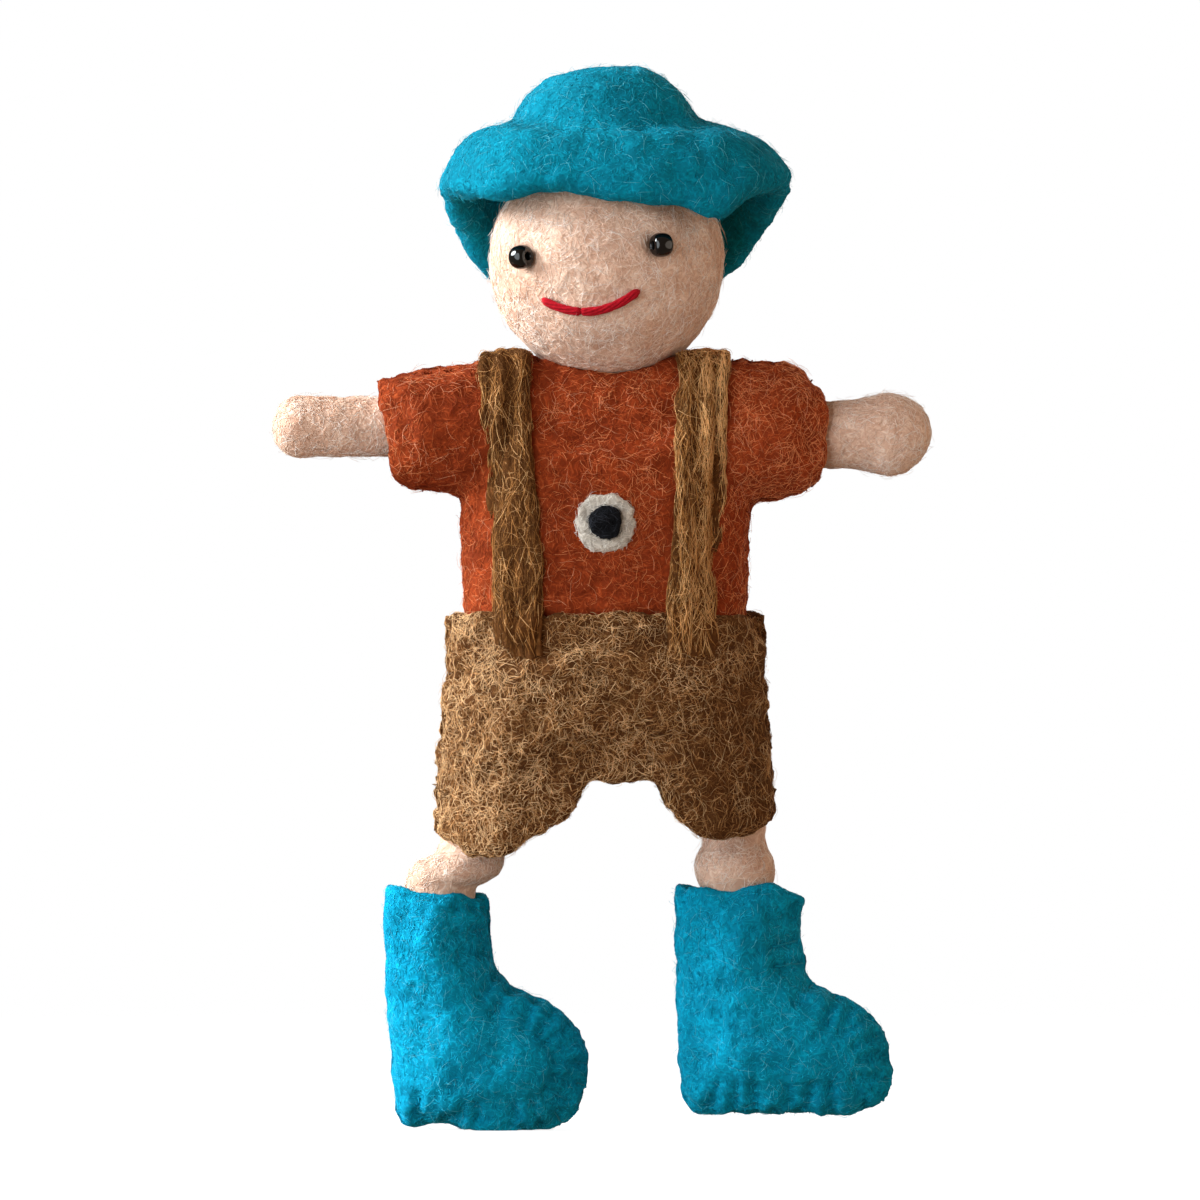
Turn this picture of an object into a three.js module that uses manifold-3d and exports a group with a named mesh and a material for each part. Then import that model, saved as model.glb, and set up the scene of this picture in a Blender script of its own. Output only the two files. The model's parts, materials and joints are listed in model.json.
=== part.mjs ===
// A wool-felt finger puppet: a doll with a rolled hat, a shirt, shorts with braces, and boots.
// The shirt and shorts are each two felt panels sewn into a bag, and the bag is the finger pocket.
// Millimetres, +Z up, the face looks along -Y. Left and right are as seen from the front.
// The origin is the middle of the pocket's mouth, level with the crotch.
import * as THREE from "three";
import { mergeVertices } from "three/addons/utils/BufferGeometryUtils.js";
import Module from "manifold-3d";

const wasm = await Module();
wasm.setup();

// Felt thicknesses, and the gap between pieces that lie against each other
const GAP = 0.3;
const SHIRT_FELT = 1.5;
const SHORTS_FELT = 1.8;
const HAT_FELT = 2.8;
const BOOT_FELT = 1.8;
const BRACE_FELT = 1;
const BUTTON_FELT = 0.9;
const DOT_FELT = 0.7;

// Shirt: heights above the pocket's mouth, and half sizes of its oval sections
const WAIST_Z = 20;
const SHIRT_TUCK = 6;
const ARMPIT_Z = 33;
const SHOULDER_Z = 51;
const WAIST_HALF_WIDTH = 17.2;
const WAIST_HALF_DEPTH = 8.8;
const CHEST_HALF_WIDTH = 17.6;
const CHEST_HALF_DEPTH = 9.3;
const SHOULDER_HALF_DEPTH = 7.4;
const SLEEVE_ROUND = 4.5;

// Shorts
const HEM_HALF_WIDTH = 21;
const HEM_HALF_DEPTH = 11.2;
const CROTCH_X = 2.2;
const CROTCH_HALF_WIDTH = 4.2;
const ARCH_HALF_WIDTH = 9;

// Braces and button
const BRACE_WIDTH = 6;
const BRACE_TOP_X = 12;
const BRACE_END_X = 10;
const BRACE_END_Z = 14.5;
const BUTTON_Z = 30.8;
const BUTTON_RADIUS = 3.7;
const DOT_RADIUS = 2.2;

// Head and neck
const HEAD_X = 0.2;
const HEAD_Z = 62.2;
const HEAD_RADIUS = 14.1;
const NECK_RADIUS = 4.2;
const NECK_DEPTH = 6;

// Face, on the head's ball: the way it looks, and where the beads and the smile lie on it
const FACE_TURN = THREE.MathUtils.degToRad(-8.5);
const FACE_TILT = THREE.MathUtils.degToRad(-4.6);
const FACE = new THREE.Euler(0, FACE_TILT, FACE_TURN, "ZYX");
const EYE_SPREAD = THREE.MathUtils.degToRad(35);
const EYE_LIFT = THREE.MathUtils.degToRad(3.4);
const BEAD_RADIUS = 1.55;
const BEAD_LENGTH = 2.4;
const BEAD_HOLE_RADIUS = 0.35;
const BEAD_SINK = 0.9;
const SMILE_X = -0.5;
const SMILE_HALF_WIDTH = 5.9;
const SMILE_DROP = 6.35;
const SMILE_CURVE = 2;
const SMILE_THREAD = 1;

// Hat, above the head's middle: a round crown on the head, and a brim that droops most at the back
const HAT_X = 1;
const CROWN_SHIFT = -1.3;
const CROWN_TOP = 23.8;
const CROWN_RADIUS = 9.9;
const CROWN_HEIGHT = 7.8;
const CROWN_SEAT_RADIUS = 9.6;
const BRIM_SIDE = 21.3;
const BRIM_FRONT = 15.8;
const BRIM_BACK = 19.5;
const EDGE_LEFT = 8.8;
const EDGE_RIGHT = 10;
const EDGE_FRONT = 7.1;
const EDGE_BACK = -5.6;

// Each side's own sizes: the sleeve and arm, then the hem, leg and boot
const HIP_RADIUS = 3.4;
const LEG_RADIUS = 4;
const HIP_ABOVE_HEM = 2.5;
const SHOULDER_IN_CUFF = 3;
const LEG_IN_BOOT = 11;
const BOOT_TOP_Z = -12.4;
const HEEL_ROUND = 2;
const TOE_ROUND = 4.5;
const left = {
  name: "left", sign: -1,
  cuffX: 27.4, cuffZ: 41, cuffHalfHeight: 7.1, cuffSlant: 2.6, sleeveSwell: 0.2,
  armRadius: 3.7, armRise: 1.4, wristRadius: 3.7, handRadius: 3.8, handReach: 12.6,
  hemZ: -8.2, legSwell: 5.2, ankleShift: -4.4,
  boot: { back: 6.6, front: 6.1, heel: 5.4, toe: 18, height: 29.5, foot: 15.6 },
};
const right = {
  name: "right", sign: 1,
  cuffX: 26.6, cuffZ: 41.5, cuffHalfHeight: 6.9, cuffSlant: 0, sleeveSwell: 1.4,
  armRadius: 4, armRise: 0, wristRadius: 4.3, handRadius: 5.1, handReach: 12.6,
  hemZ: -7, legSwell: 4.7, ankleShift: 0.2,
  boot: { back: 7.5, front: 8, heel: 6.7, toe: 19.2, height: 27.6, foot: 13.6 },
};

// How finely round shapes are cut
const BODY_SIDES = 28;
const LIMB_SIDES = 16;
const HAT_SIDES = 32;
const HEAD_SIDES = 28;
const ROUND = 2;
const BODY_SQUARENESS = 2.6;
const HEM_SQUARENESS = 3.2;
const SLEEVE_SQUARENESS = 2.4;
const FAR = 100;

// Materials

function wool(hex) {
  return new THREE.MeshStandardMaterial({ color: hex, roughness: 0.95, metalness: 0 });
}
const skinWool = wool(0xd2b09a);
const tealFelt = wool(0x037f95);
const rustFelt = wool(0xa8421c);
const brownFelt = wool(0x6e5028);
const whiteWool = wool(0xdcd6cc);
const blackWool = wool(0x1c1c1e);
const stuffingWool = wool(0xe8e0d2);
const blackGlass = new THREE.MeshStandardMaterial({ color: 0x0c0c0e, roughness: 0.12, metalness: 0 });
const redThread = new THREE.MeshStandardMaterial({ color: 0xb01820, roughness: 0.7, metalness: 0 });

// Solids

function solidOf(geometry) {
  const bare = geometry.clone();
  bare.deleteAttribute("normal");
  bare.deleteAttribute("uv");
  const merged = mergeVertices(bare, 1e-4);
  return new wasm.Manifold(new wasm.Mesh({
    numProp: 3,
    vertProperties: new Float32Array(merged.attributes.position.array),
    triVerts: new Uint32Array(merged.index.array),
  }));
}

function geometryOf(solid) {
  const mesh = solid.getMesh();
  const geometry = new THREE.BufferGeometry();
  geometry.setAttribute("position", new THREE.BufferAttribute(mesh.vertProperties, mesh.numProp));
  geometry.setIndex(new THREE.BufferAttribute(mesh.triVerts, 1));
  geometry.computeVertexNormals();
  return geometry;
}

function joined(...solids) {
  return solids.reduce((whole, next) => whole.add(next));
}

function box(low, high) {
  const size = new THREE.Vector3().subVectors(high, low);
  const middle = new THREE.Vector3().addVectors(low, high).multiplyScalar(0.5);
  return solidOf(new THREE.BoxGeometry(size.x, size.y, size.z).translate(middle.x, middle.y, middle.z));
}

function ball(radius, middle) {
  const sides = radius > HEAD_RADIUS / 2 ? HEAD_SIDES : HEAD_SIDES / 2;
  const geometry = new THREE.SphereGeometry(radius, sides, Math.round(sides * 0.7));
  return geometry.rotateX(Math.PI / 2).translate(middle.x, middle.y, middle.z);
}

// A round bar between two heights
function post(radius, low, high, x = 0) {
  const geometry = new THREE.CylinderGeometry(radius, radius, high - low, LIMB_SIDES);
  return solidOf(geometry.rotateX(Math.PI / 2).translate(x, 0, (low + high) / 2));
}

// An outline in the front view, pushed through from front to back
function throughFrontToBack(shape) {
  const through = { depth: 2 * FAR, bevelEnabled: false, curveSegments: 10 };
  const geometry = new THREE.ExtrudeGeometry(shape, through);
  return solidOf(geometry.rotateX(Math.PI / 2).translate(0, FAR, 0));
}

// A skin through rings of points, one above the other, closed at both ends.
// Each ring runs counter-clockwise as seen from the end that the rings lead to.
function loft(rings) {
  const sides = rings[0].length;
  const points = rings.flat();
  const index = [];
  for (let r = 0; r + 1 < rings.length; r++) {
    for (let s = 0; s < sides; s++) {
      const a = r * sides + s;
      const b = r * sides + ((s + 1) % sides);
      index.push(a, b, b + sides, a, b + sides, a + sides);
    }
  }
  const closeEnd = (ring, first, turn) => {
    const middle = ring.reduce((sum, p) => sum.add(p), new THREE.Vector3()).divideScalar(sides);
    const hub = points.push(middle) - 1;
    for (let s = 0; s < sides; s++) {
      const edge = [first + s, first + ((s + 1) % sides)];
      index.push(hub, ...(turn ? edge.reverse() : edge));
    }
  };
  closeEnd(rings[0], 0, true);
  closeEnd(rings.at(-1), (rings.length - 1) * sides, false);
  const geometry = new THREE.BufferGeometry().setFromPoints(points);
  return geometry.setIndex(index);
}

// The points of an oval with half sizes 1, from round (2) to nearly square
function ovalPoints(sides, squareness) {
  const bulge = (v) => Math.sign(v) * Math.abs(v) ** (2 / squareness);
  return Array.from({ length: sides }, (_, s) => {
    const angle = (2 * Math.PI * s) / sides;
    return [bulge(Math.cos(angle)), bulge(Math.sin(angle))];
  });
}

// Rounds off a list of stations: count steps of a smooth curve through every named size in it
function smoothStations(stations, count) {
  const last = stations.length - 1;
  return Array.from({ length: count + 1 }, (_, i) => {
    const along = (last * i) / count;
    const k = Math.min(Math.floor(along), last - 1);
    const t = along - k;
    const near = [k - 1, k, k + 1, k + 2].map((n) => stations[THREE.MathUtils.clamp(n, 0, last)]);
    return Object.fromEntries(Object.keys(stations[0]).map((size) => {
      const [p, q, r, s] = near.map((station) => station[size]);
      const bend = (2 * p - 5 * q + 4 * r - s) * t * t + (3 * q - p - 3 * r + s) * t * t * t;
      return [size, q + 0.5 * ((r - p) * t + bend)];
    }));
  });
}

// A level oval ring, grown all round by one thickness
function levelRing({ x = 0, z, halfWidth, halfDepth }, grow, sides, squareness) {
  return ovalPoints(sides, squareness).map(([c, s]) => new THREE.Vector3(
    x + (halfWidth + grow) * c, (halfDepth + grow) * s, z));
}

// Shirt: a body tube and two sleeve tubes, grown or shrunk by one thickness all round

const shoulderMiddle = (SHOULDER_Z + ARMPIT_Z) / 2;
const shoulderHalfHeight = (SHOULDER_Z - ARMPIT_Z) / 2;
const yokeZ = SHOULDER_Z - shoulderHalfHeight * 0.45;

function shirtBody(grow, tail) {
  const stations = [
    { z: WAIST_Z - SHIRT_TUCK - tail, halfWidth: WAIST_HALF_WIDTH, halfDepth: WAIST_HALF_DEPTH },
    { z: WAIST_Z, halfWidth: WAIST_HALF_WIDTH, halfDepth: WAIST_HALF_DEPTH },
    { z: ARMPIT_Z, halfWidth: CHEST_HALF_WIDTH, halfDepth: CHEST_HALF_DEPTH },
    { z: shoulderMiddle + grow, halfWidth: CHEST_HALF_WIDTH * 0.95, halfDepth: CHEST_HALF_DEPTH * 0.94 },
    { z: yokeZ + grow, halfWidth: CHEST_HALF_WIDTH * 0.75, halfDepth: SHOULDER_HALF_DEPTH * 0.9 },
  ];
  const rings = smoothStations(stations, 8);
  return solidOf(loft(rings.map((ring) => levelRing(ring, grow, BODY_SIDES, BODY_SQUARENESS))));
}

function sleeve(side, grow, cuffExtra) {
  const shoulder = {
    z: shoulderMiddle, halfHeight: shoulderHalfHeight, halfDepth: SHOULDER_HALF_DEPTH, slant: 0,
  };
  const cuff = {
    z: side.cuffZ, halfHeight: side.cuffHalfHeight, halfDepth: cuffHalfDepth(side), slant: side.cuffSlant,
  };
  const stations = [
    { x: 0, ...shoulder },
    { x: CHEST_HALF_WIDTH * 0.6, ...shoulder },
    { x: side.cuffX - SLEEVE_ROUND, ...shoulder, halfHeight: side.cuffHalfHeight + side.sleeveSwell },
    { x: side.cuffX, ...cuff },
  ];
  const rings = smoothStations(stations, 9).map((s) => sleeveRing(side, s, grow));
  rings.push(sleeveRing(side, { ...stations.at(-1), x: side.cuffX + cuffExtra }, grow));
  return solidOf(loft(side.sign > 0 ? rings : rings.reverse()));
}

// A ring across the sleeve, whose lower edge is cut back by the slant
function sleeveRing(side, station, grow) {
  return ovalPoints(BODY_SIDES * 0.75, SLEEVE_SQUARENESS).map(([c, s]) => new THREE.Vector3(
    side.sign * (station.x - station.slant * (1 - s) / 2),
    (station.halfDepth + grow) * c,
    station.z + (station.halfHeight + grow) * s));
}

function cuffHalfDepth(side) {
  return side.armRadius + GAP + SHIRT_FELT;
}

function shirtForm(grow, opening) {
  return joined(shirtBody(grow, opening), sleeve(left, grow, opening), sleeve(right, grow, opening));
}

const headMiddle = new THREE.Vector3(HEAD_X, 0, HEAD_Z);
const headSeat = solidOf(ball(HEAD_RADIUS + GAP, headMiddle));

// The front half and the back half of a shell, parted at the side seams
function parted(shell) {
  const corner = (side, y) => new THREE.Vector3(side * FAR, y, side * FAR);
  const reach = (low, high) => box(corner(-1, low), corner(1, high));
  return { front: shell.intersect(reach(-FAR, -GAP / 2)), back: shell.intersect(reach(GAP / 2, FAR)) };
}

function shirtPanels() {
  const neckHole = post(NECK_RADIUS + GAP, shoulderMiddle, HEAD_Z, HEAD_X);
  const shell = shirtForm(0, GAP).subtract(shirtForm(-SHIRT_FELT, FAR / 10));
  return parted(shell.subtract(headSeat).subtract(neckHole));
}

// Shorts: one oval tube, cut below along the hems and the crotch's arch

const lowestHem = Math.min(left.hemZ, right.hemZ);

function shortsForm(grow, top) {
  const hem = { halfWidth: HEM_HALF_WIDTH, halfDepth: HEM_HALF_DEPTH, squareness: HEM_SQUARENESS };
  const waist = {
    halfWidth: WAIST_HALF_WIDTH + GAP + SHORTS_FELT,
    halfDepth: WAIST_HALF_DEPTH + GAP + SHORTS_FELT,
    squareness: BODY_SQUARENESS,
  };
  const stations = [
    { z: lowestHem - 2 * SHORTS_FELT, ...hem },
    { z: lowestHem, ...hem },
    { z: WAIST_Z - SHIRT_TUCK, ...waist },
    { z: WAIST_Z + top, ...waist },
  ];
  return solidOf(loft(stations.map((s) => levelRing(s, grow, BODY_SIDES, s.squareness))));
}

function belowTheHems() {
  const shape = new THREE.Shape();
  const archLeft = CROTCH_X - CROTCH_HALF_WIDTH;
  const archRight = CROTCH_X + CROTCH_HALF_WIDTH;
  shape.moveTo(-FAR, -FAR);
  shape.lineTo(FAR, -FAR);
  shape.lineTo(FAR, right.hemZ);
  shape.lineTo(CROTCH_X + ARCH_HALF_WIDTH, right.hemZ);
  shape.quadraticCurveTo(archRight + SHORTS_FELT / 2, right.hemZ * 0.8, archRight, 0);
  shape.lineTo(archLeft, 0);
  shape.quadraticCurveTo(archLeft - SHORTS_FELT, left.hemZ * 0.5, CROTCH_X - ARCH_HALF_WIDTH, left.hemZ);
  shape.lineTo(-FAR, left.hemZ);
  return throughFrontToBack(shape);
}

function shortsPanels() {
  const shell = shortsForm(0, 0).subtract(shortsForm(-SHORTS_FELT, FAR / 10));
  return parted(shell.subtract(belowTheHems()));
}

// Braces and button lie on the clothes, as skins of the felt's thickness

function skinOver(form, gap, felt) {
  return form(gap + felt).subtract(form(gap));
}

function brace(side) {
  const clothes = (grow) => shirtForm(grow, 0).add(shortsForm(grow, grow));
  const half = BRACE_WIDTH / 2;
  const topX = side.sign * BRACE_TOP_X;
  const endX = side.sign * BRACE_END_X;
  const shape = new THREE.Shape();
  shape.moveTo(endX - half, BRACE_END_Z);
  shape.lineTo(endX + half, BRACE_END_Z);
  shape.lineTo(topX + half, SHOULDER_Z);
  shape.lineTo(topX + half, HEAD_Z);
  shape.lineTo(topX - half, HEAD_Z);
  shape.lineTo(topX - half, SHOULDER_Z);
  return skinOver(clothes, GAP, BRACE_FELT).intersect(throughFrontToBack(shape)).subtract(headSeat);
}

function frontDisc(radius, gap, felt) {
  const shape = new THREE.Shape().absarc(0, BUTTON_Z, radius, 0, 2 * Math.PI);
  const onShirt = skinOver((grow) => shirtForm(grow, 0), gap, felt).intersect(throughFrontToBack(shape));
  return parted(onShirt).front;
}

// Neck: the wool tail under the head, sewn into the shirt's neck hole
function neckStub() {
  return post(NECK_RADIUS, HEAD_Z - HEAD_RADIUS - NECK_DEPTH, HEAD_Z, HEAD_X).subtract(headSeat);
}

// Hat, round the head's middle: its outline at one angle, down from the crown's top to the brim's edge

function hatOutline(angle) {
  const backward = Math.sin(angle);
  const edgeSide = THREE.MathUtils.lerp(EDGE_LEFT, EDGE_RIGHT, (1 + Math.cos(angle)) / 2);
  const edgeZ = backward > 0
    ? THREE.MathUtils.lerp(edgeSide, EDGE_BACK, backward ** 1.15)
    : THREE.MathUtils.lerp(edgeSide, EDGE_FRONT, backward ** 2);
  const edge = Math.hypot(BRIM_SIDE * Math.cos(angle), (backward > 0 ? BRIM_BACK : BRIM_FRONT) * backward);
  const rootZ = CROWN_TOP - CROWN_HEIGHT;
  const root = CROWN_RADIUS * 1.14;
  return new THREE.SplineCurve([
    new THREE.Vector2(0.4, CROWN_TOP),
    new THREE.Vector2(CROWN_RADIUS * 0.6, CROWN_TOP - CROWN_HEIGHT * 0.14),
    new THREE.Vector2(CROWN_RADIUS * 0.94, CROWN_TOP - CROWN_HEIGHT * 0.55),
    new THREE.Vector2(root, rootZ),
    new THREE.Vector2(THREE.MathUtils.lerp(root, edge, 0.62), THREE.MathUtils.lerp(rootZ, edgeZ, 0.24)),
    new THREE.Vector2(edge, edgeZ),
  ]);
}

function hat() {
  const steps = 15;
  const rootStep = 9;
  const angles = Array.from({ length: HAT_SIDES }, (_, s) => (2 * Math.PI * s) / HAT_SIDES);
  const outlines = angles.map(hatOutline);
  const round = (s, x, radius, z) => new THREE.Vector3(
    x + radius * Math.cos(angles[s]), radius * Math.sin(angles[s]), z);
  const ring = (i, felt) => outlines.map((outline, s) => {
    const x = HAT_X + CROWN_SHIFT * Math.min(1, (steps - i) / (steps - rootStep));
    const point = outline.getPoint(i / steps);
    const along = outline.getTangent(i / steps);
    return round(s, x, point.x + felt * along.y, point.y - felt * along.x);
  });
  const levelRings = [0.2, CROWN_SEAT_RADIUS].map((radius) =>
    angles.map((_, s) => round(s, HAT_X + CROWN_SHIFT, radius, EDGE_FRONT)));
  const under = [];
  for (let i = rootStep; i <= steps; i++) under.push(ring(i, HAT_FELT));
  const top = [];
  for (let i = steps; i >= 0; i--) top.push(ring(i, 0));
  const headRoom = solidOf(ball(HEAD_RADIUS + GAP, new THREE.Vector3()));
  return solidOf(loft([...levelRings, ...under, ...top])).subtract(headRoom);
}

// Face: glass beads with a thread hole, and a smile sewn in red thread

function bead() {
  const half = BEAD_LENGTH / 2;
  const round = BEAD_RADIUS * 0.5;
  const profile = new THREE.Path();
  profile.moveTo(BEAD_HOLE_RADIUS, -half);
  profile.lineTo(BEAD_RADIUS - round, -half);
  profile.quadraticCurveTo(BEAD_RADIUS, -half, BEAD_RADIUS, 0);
  profile.quadraticCurveTo(BEAD_RADIUS, half, BEAD_RADIUS - round, half);
  profile.lineTo(BEAD_HOLE_RADIUS, half);
  profile.closePath();
  return new THREE.LatheGeometry(profile.getPoints(3), 12);
}

function onFace(spread, lift, radius) {
  const level = radius * Math.cos(lift);
  return new THREE.Vector3(level * Math.sin(spread), -level * Math.cos(spread), radius * Math.sin(lift));
}

function eyeMiddle(side) {
  return onFace(side.sign * EYE_SPREAD, EYE_LIFT, HEAD_RADIUS + BEAD_RADIUS - BEAD_SINK);
}

// The head's ball, with a dimple under each bead
function head() {
  const dimples = [left, right].map((side) =>
    solidOf(ball(BEAD_RADIUS + GAP, eyeMiddle(side).applyEuler(FACE))));
  return solidOf(ball(HEAD_RADIUS, new THREE.Vector3())).subtract(joined(...dimples));
}

class SmileCurve extends THREE.Curve {
  getPoint(t) {
    const across = 2 * t - 1;
    const x = SMILE_X + SMILE_HALF_WIDTH * across;
    const z = SMILE_CURVE * across ** 2 - SMILE_DROP;
    const radius = HEAD_RADIUS + GAP + SMILE_THREAD / 2;
    return new THREE.Vector3(x, -Math.sqrt(radius ** 2 - x ** 2 - z ** 2), z);
  }
}

function smile() {
  const section = new THREE.Shape().absarc(0, 0, SMILE_THREAD / 2, 0, 2 * Math.PI);
  return new THREE.ExtrudeGeometry(section, { steps: 14, extrudePath: new SmileCurve(), curveSegments: 4 });
}

// Arms and legs: felt sausages with a round end on their pivot

function arm(side) {
  const reach = SHOULDER_IN_CUFF + side.handReach;
  const profile = new THREE.Path();
  profile.absarc(0, 0, side.armRadius, -Math.PI / 2, 0, false);
  profile.lineTo(side.armRadius, SHOULDER_IN_CUFF);
  profile.splineThru([
    new THREE.Vector2(side.wristRadius, SHOULDER_IN_CUFF + side.handReach * 0.3),
    new THREE.Vector2(side.handRadius, reach - side.handRadius),
  ]);
  profile.absarc(0, reach - side.handRadius, side.handRadius, 0, Math.PI / 2, false);
  return new THREE.LatheGeometry(profile.getPoints(2), LIMB_SIDES).rotateZ((-side.sign * Math.PI) / 2);
}

function leg(side) {
  const hemBelow = -HIP_ABOVE_HEM;
  const bootBelow = BOOT_TOP_Z - side.hemZ - HIP_ABOVE_HEM;
  const hipTo = (share) => THREE.MathUtils.lerp(HIP_RADIUS, side.legSwell, share);
  const ankleTo = (share) => THREE.MathUtils.lerp(LEG_RADIUS, side.legSwell, share);
  const below = (share) => THREE.MathUtils.lerp(hemBelow, bootBelow, share);
  const dome = [80, 55, 30].map((degrees) => {
    const angle = THREE.MathUtils.degToRad(degrees);
    return { z: HIP_RADIUS * Math.sin(angle), x: 0, radius: HIP_RADIUS * Math.cos(angle) };
  });
  const stations = [
    ...dome,
    { z: 0, x: 0, radius: HIP_RADIUS },
    { z: hemBelow, x: 0, radius: HIP_RADIUS },
    { z: below(0.25), x: side.ankleShift * 0.15, radius: hipTo(0.12) },
    { z: below(0.45), x: side.ankleShift * 0.42, radius: hipTo(0.85) },
    { z: below(0.7), x: side.ankleShift * 0.57, radius: side.legSwell },
    { z: below(0.87), x: side.ankleShift * 0.72, radius: ankleTo(0.7) },
    { z: bootBelow, x: side.ankleShift, radius: LEG_RADIUS },
    { z: bootBelow - LEG_IN_BOOT, x: side.ankleShift, radius: LEG_RADIUS },
    { z: bootBelow - LEG_IN_BOOT - LEG_RADIUS / 2, x: side.ankleShift, radius: LEG_RADIUS * 0.8 },
  ];
  const rings = stations.reverse().map(({ x, z, radius }) =>
    levelRing({ x, z, halfWidth: radius, halfDepth: radius }, 0, LIMB_SIDES, ROUND));
  return loft(rings);
}

// Boots, below the top of the shaft and round the ankle: two felt sides sewn together, with wool inside

const shaftHalfDepth = LEG_RADIUS + GAP + BOOT_FELT;

function bootForm({ back, front, heel, toe, height, foot }, grow, opening) {
  const above = (share) => foot * share - height;
  const heelTo = (share) => THREE.MathUtils.lerp(heel, back, share);
  const toeTo = (share) => THREE.MathUtils.lerp(toe, front, share);
  const stations = [
    { z: above(0), back: heel - HEEL_ROUND, front: toe - TOE_ROUND, deep: 0.62, rise: -1 },
    { z: above(0.12), back: heel, front: toe - TOE_ROUND * 0.27, deep: 0.92, rise: -0.8 },
    { z: above(0.45), back: heelTo(0.4), front: toe, deep: 1, rise: 0 },
    { z: above(0.8), back: heelTo(0.7), front: toe - TOE_ROUND * 0.31, deep: 1, rise: 0.5 },
    { z: above(1), back, front: toeTo(0.42), deep: 1, rise: 0.8 },
    { z: above(1.16), back, front: toeTo(0.88), deep: 1, rise: 0.8 },
    { z: above(1.5), back, front, deep: 1, rise: 0.3 },
    { z: 0, back, front, deep: 1, rise: 0 },
  ];
  const rings = smoothStations(stations, 12).map((s) => levelRing({
    x: (s.front - s.back) / 2,
    z: s.z + s.rise * grow,
    halfWidth: (s.front + s.back) / 2,
    halfDepth: shaftHalfDepth * s.deep,
  }, grow, LIMB_SIDES, BODY_SQUARENESS));
  if (opening) rings.push(rings.at(-1).map((p) => p.clone().setZ(opening)));
  return solidOf(loft(rings));
}

function bootPanels(side) {
  return parted(bootForm(side.boot, 0, 0).subtract(bootForm(side.boot, -BOOT_FELT, FAR / 10)));
}

function bootStuffing(side) {
  const legEnd = -LEG_IN_BOOT - LEG_RADIUS / 2;
  const below = box(new THREE.Vector3(-FAR, -FAR, -FAR), new THREE.Vector3(FAR, FAR, legEnd - GAP));
  return bootForm(side.boot, -BOOT_FELT - GAP, 0).intersect(below);
}

// The scene: each moving piece in a group that stands on its pivot

function mesh(name, material, shape) {
  const geometry = shape.isBufferGeometry ? shape : geometryOf(shape);
  const made = new THREE.Mesh(geometry, material);
  made.name = name;
  return made;
}

function groupAt(x, z, ...children) {
  const group = new THREE.Group();
  group.position.set(x, 0, z);
  return group.add(...children);
}

function clothes() {
  const shirt = shirtPanels();
  const shorts = shortsPanels();
  return [
    mesh("shirt_front", rustFelt, shirt.front),
    mesh("shirt_back", rustFelt, shirt.back),
    mesh("shorts_front", brownFelt, shorts.front),
    mesh("shorts_back", brownFelt, shorts.back),
    mesh("brace_left", brownFelt, brace(left)),
    mesh("brace_right", brownFelt, brace(right)),
    mesh("button_disc", whiteWool, frontDisc(BUTTON_RADIUS, GAP, BUTTON_FELT)),
    mesh("button_dot", blackWool, frontDisc(DOT_RADIUS, 2 * GAP + BUTTON_FELT, DOT_FELT)),
    mesh("neck_stub", skinWool, neckStub()),
  ];
}

function faceGroup() {
  const face = new THREE.Group();
  face.rotation.copy(FACE);
  for (const side of [left, right]) {
    const eye = mesh(`eye_${side.name}`, blackGlass, bead());
    eye.position.copy(eyeMiddle(side));
    eye.rotation.z = side.sign * EYE_SPREAD + Math.PI / 2;
    face.add(eye);
  }
  return face.add(mesh("smile", redThread, smile()));
}

function headGroup() {
  return groupAt(HEAD_X, HEAD_Z,
    mesh("head", skinWool, head()),
    mesh("hat", tealFelt, hat()),
    faceGroup());
}

function armGroup(side) {
  return groupAt(side.sign * (side.cuffX - SHOULDER_IN_CUFF), side.cuffZ + side.armRise,
    mesh(`arm_${side.name}`, skinWool, arm(side)));
}

function legGroup(side) {
  const hipX = side.sign * (HEM_HALF_WIDTH - SHORTS_FELT - GAP - HIP_RADIUS);
  const boot = bootPanels(side);
  const shaftTop = groupAt(side.ankleShift, BOOT_TOP_Z - side.hemZ - HIP_ABOVE_HEM,
    mesh(`boot_${side.name}_near_side`, tealFelt, boot.front),
    mesh(`boot_${side.name}_far_side`, tealFelt, boot.back),
    mesh(`boot_${side.name}_stuffing`, stuffingWool, bootStuffing(side)));
  return groupAt(hipX, side.hemZ + HIP_ABOVE_HEM, mesh(`leg_${side.name}`, skinWool, leg(side)), shaftTop);
}

const puppet = new THREE.Group();
puppet.add(...clothes(), headGroup());
for (const side of [left, right]) puppet.add(armGroup(side), legGroup(side));

export default puppet;
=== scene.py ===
"""The looks of a wool-felt finger puppet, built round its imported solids.

Every felt piece starts as a copy of its solid, is remeshed, puffed by a short cloth run where wool
pushes it out, drawn in at its stitches, made lumpy, and covered in loose wool: a dense nap that lies
on the skin, and a few long stray fibres.
"""
import json
import math
from dataclasses import dataclass, replace

import bpy
import numpy as np
from mathutils import Euler, Matrix, Vector, noise
from mathutils.bvhtree import BVHTree
from mathutils.kdtree import KDTree

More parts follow.
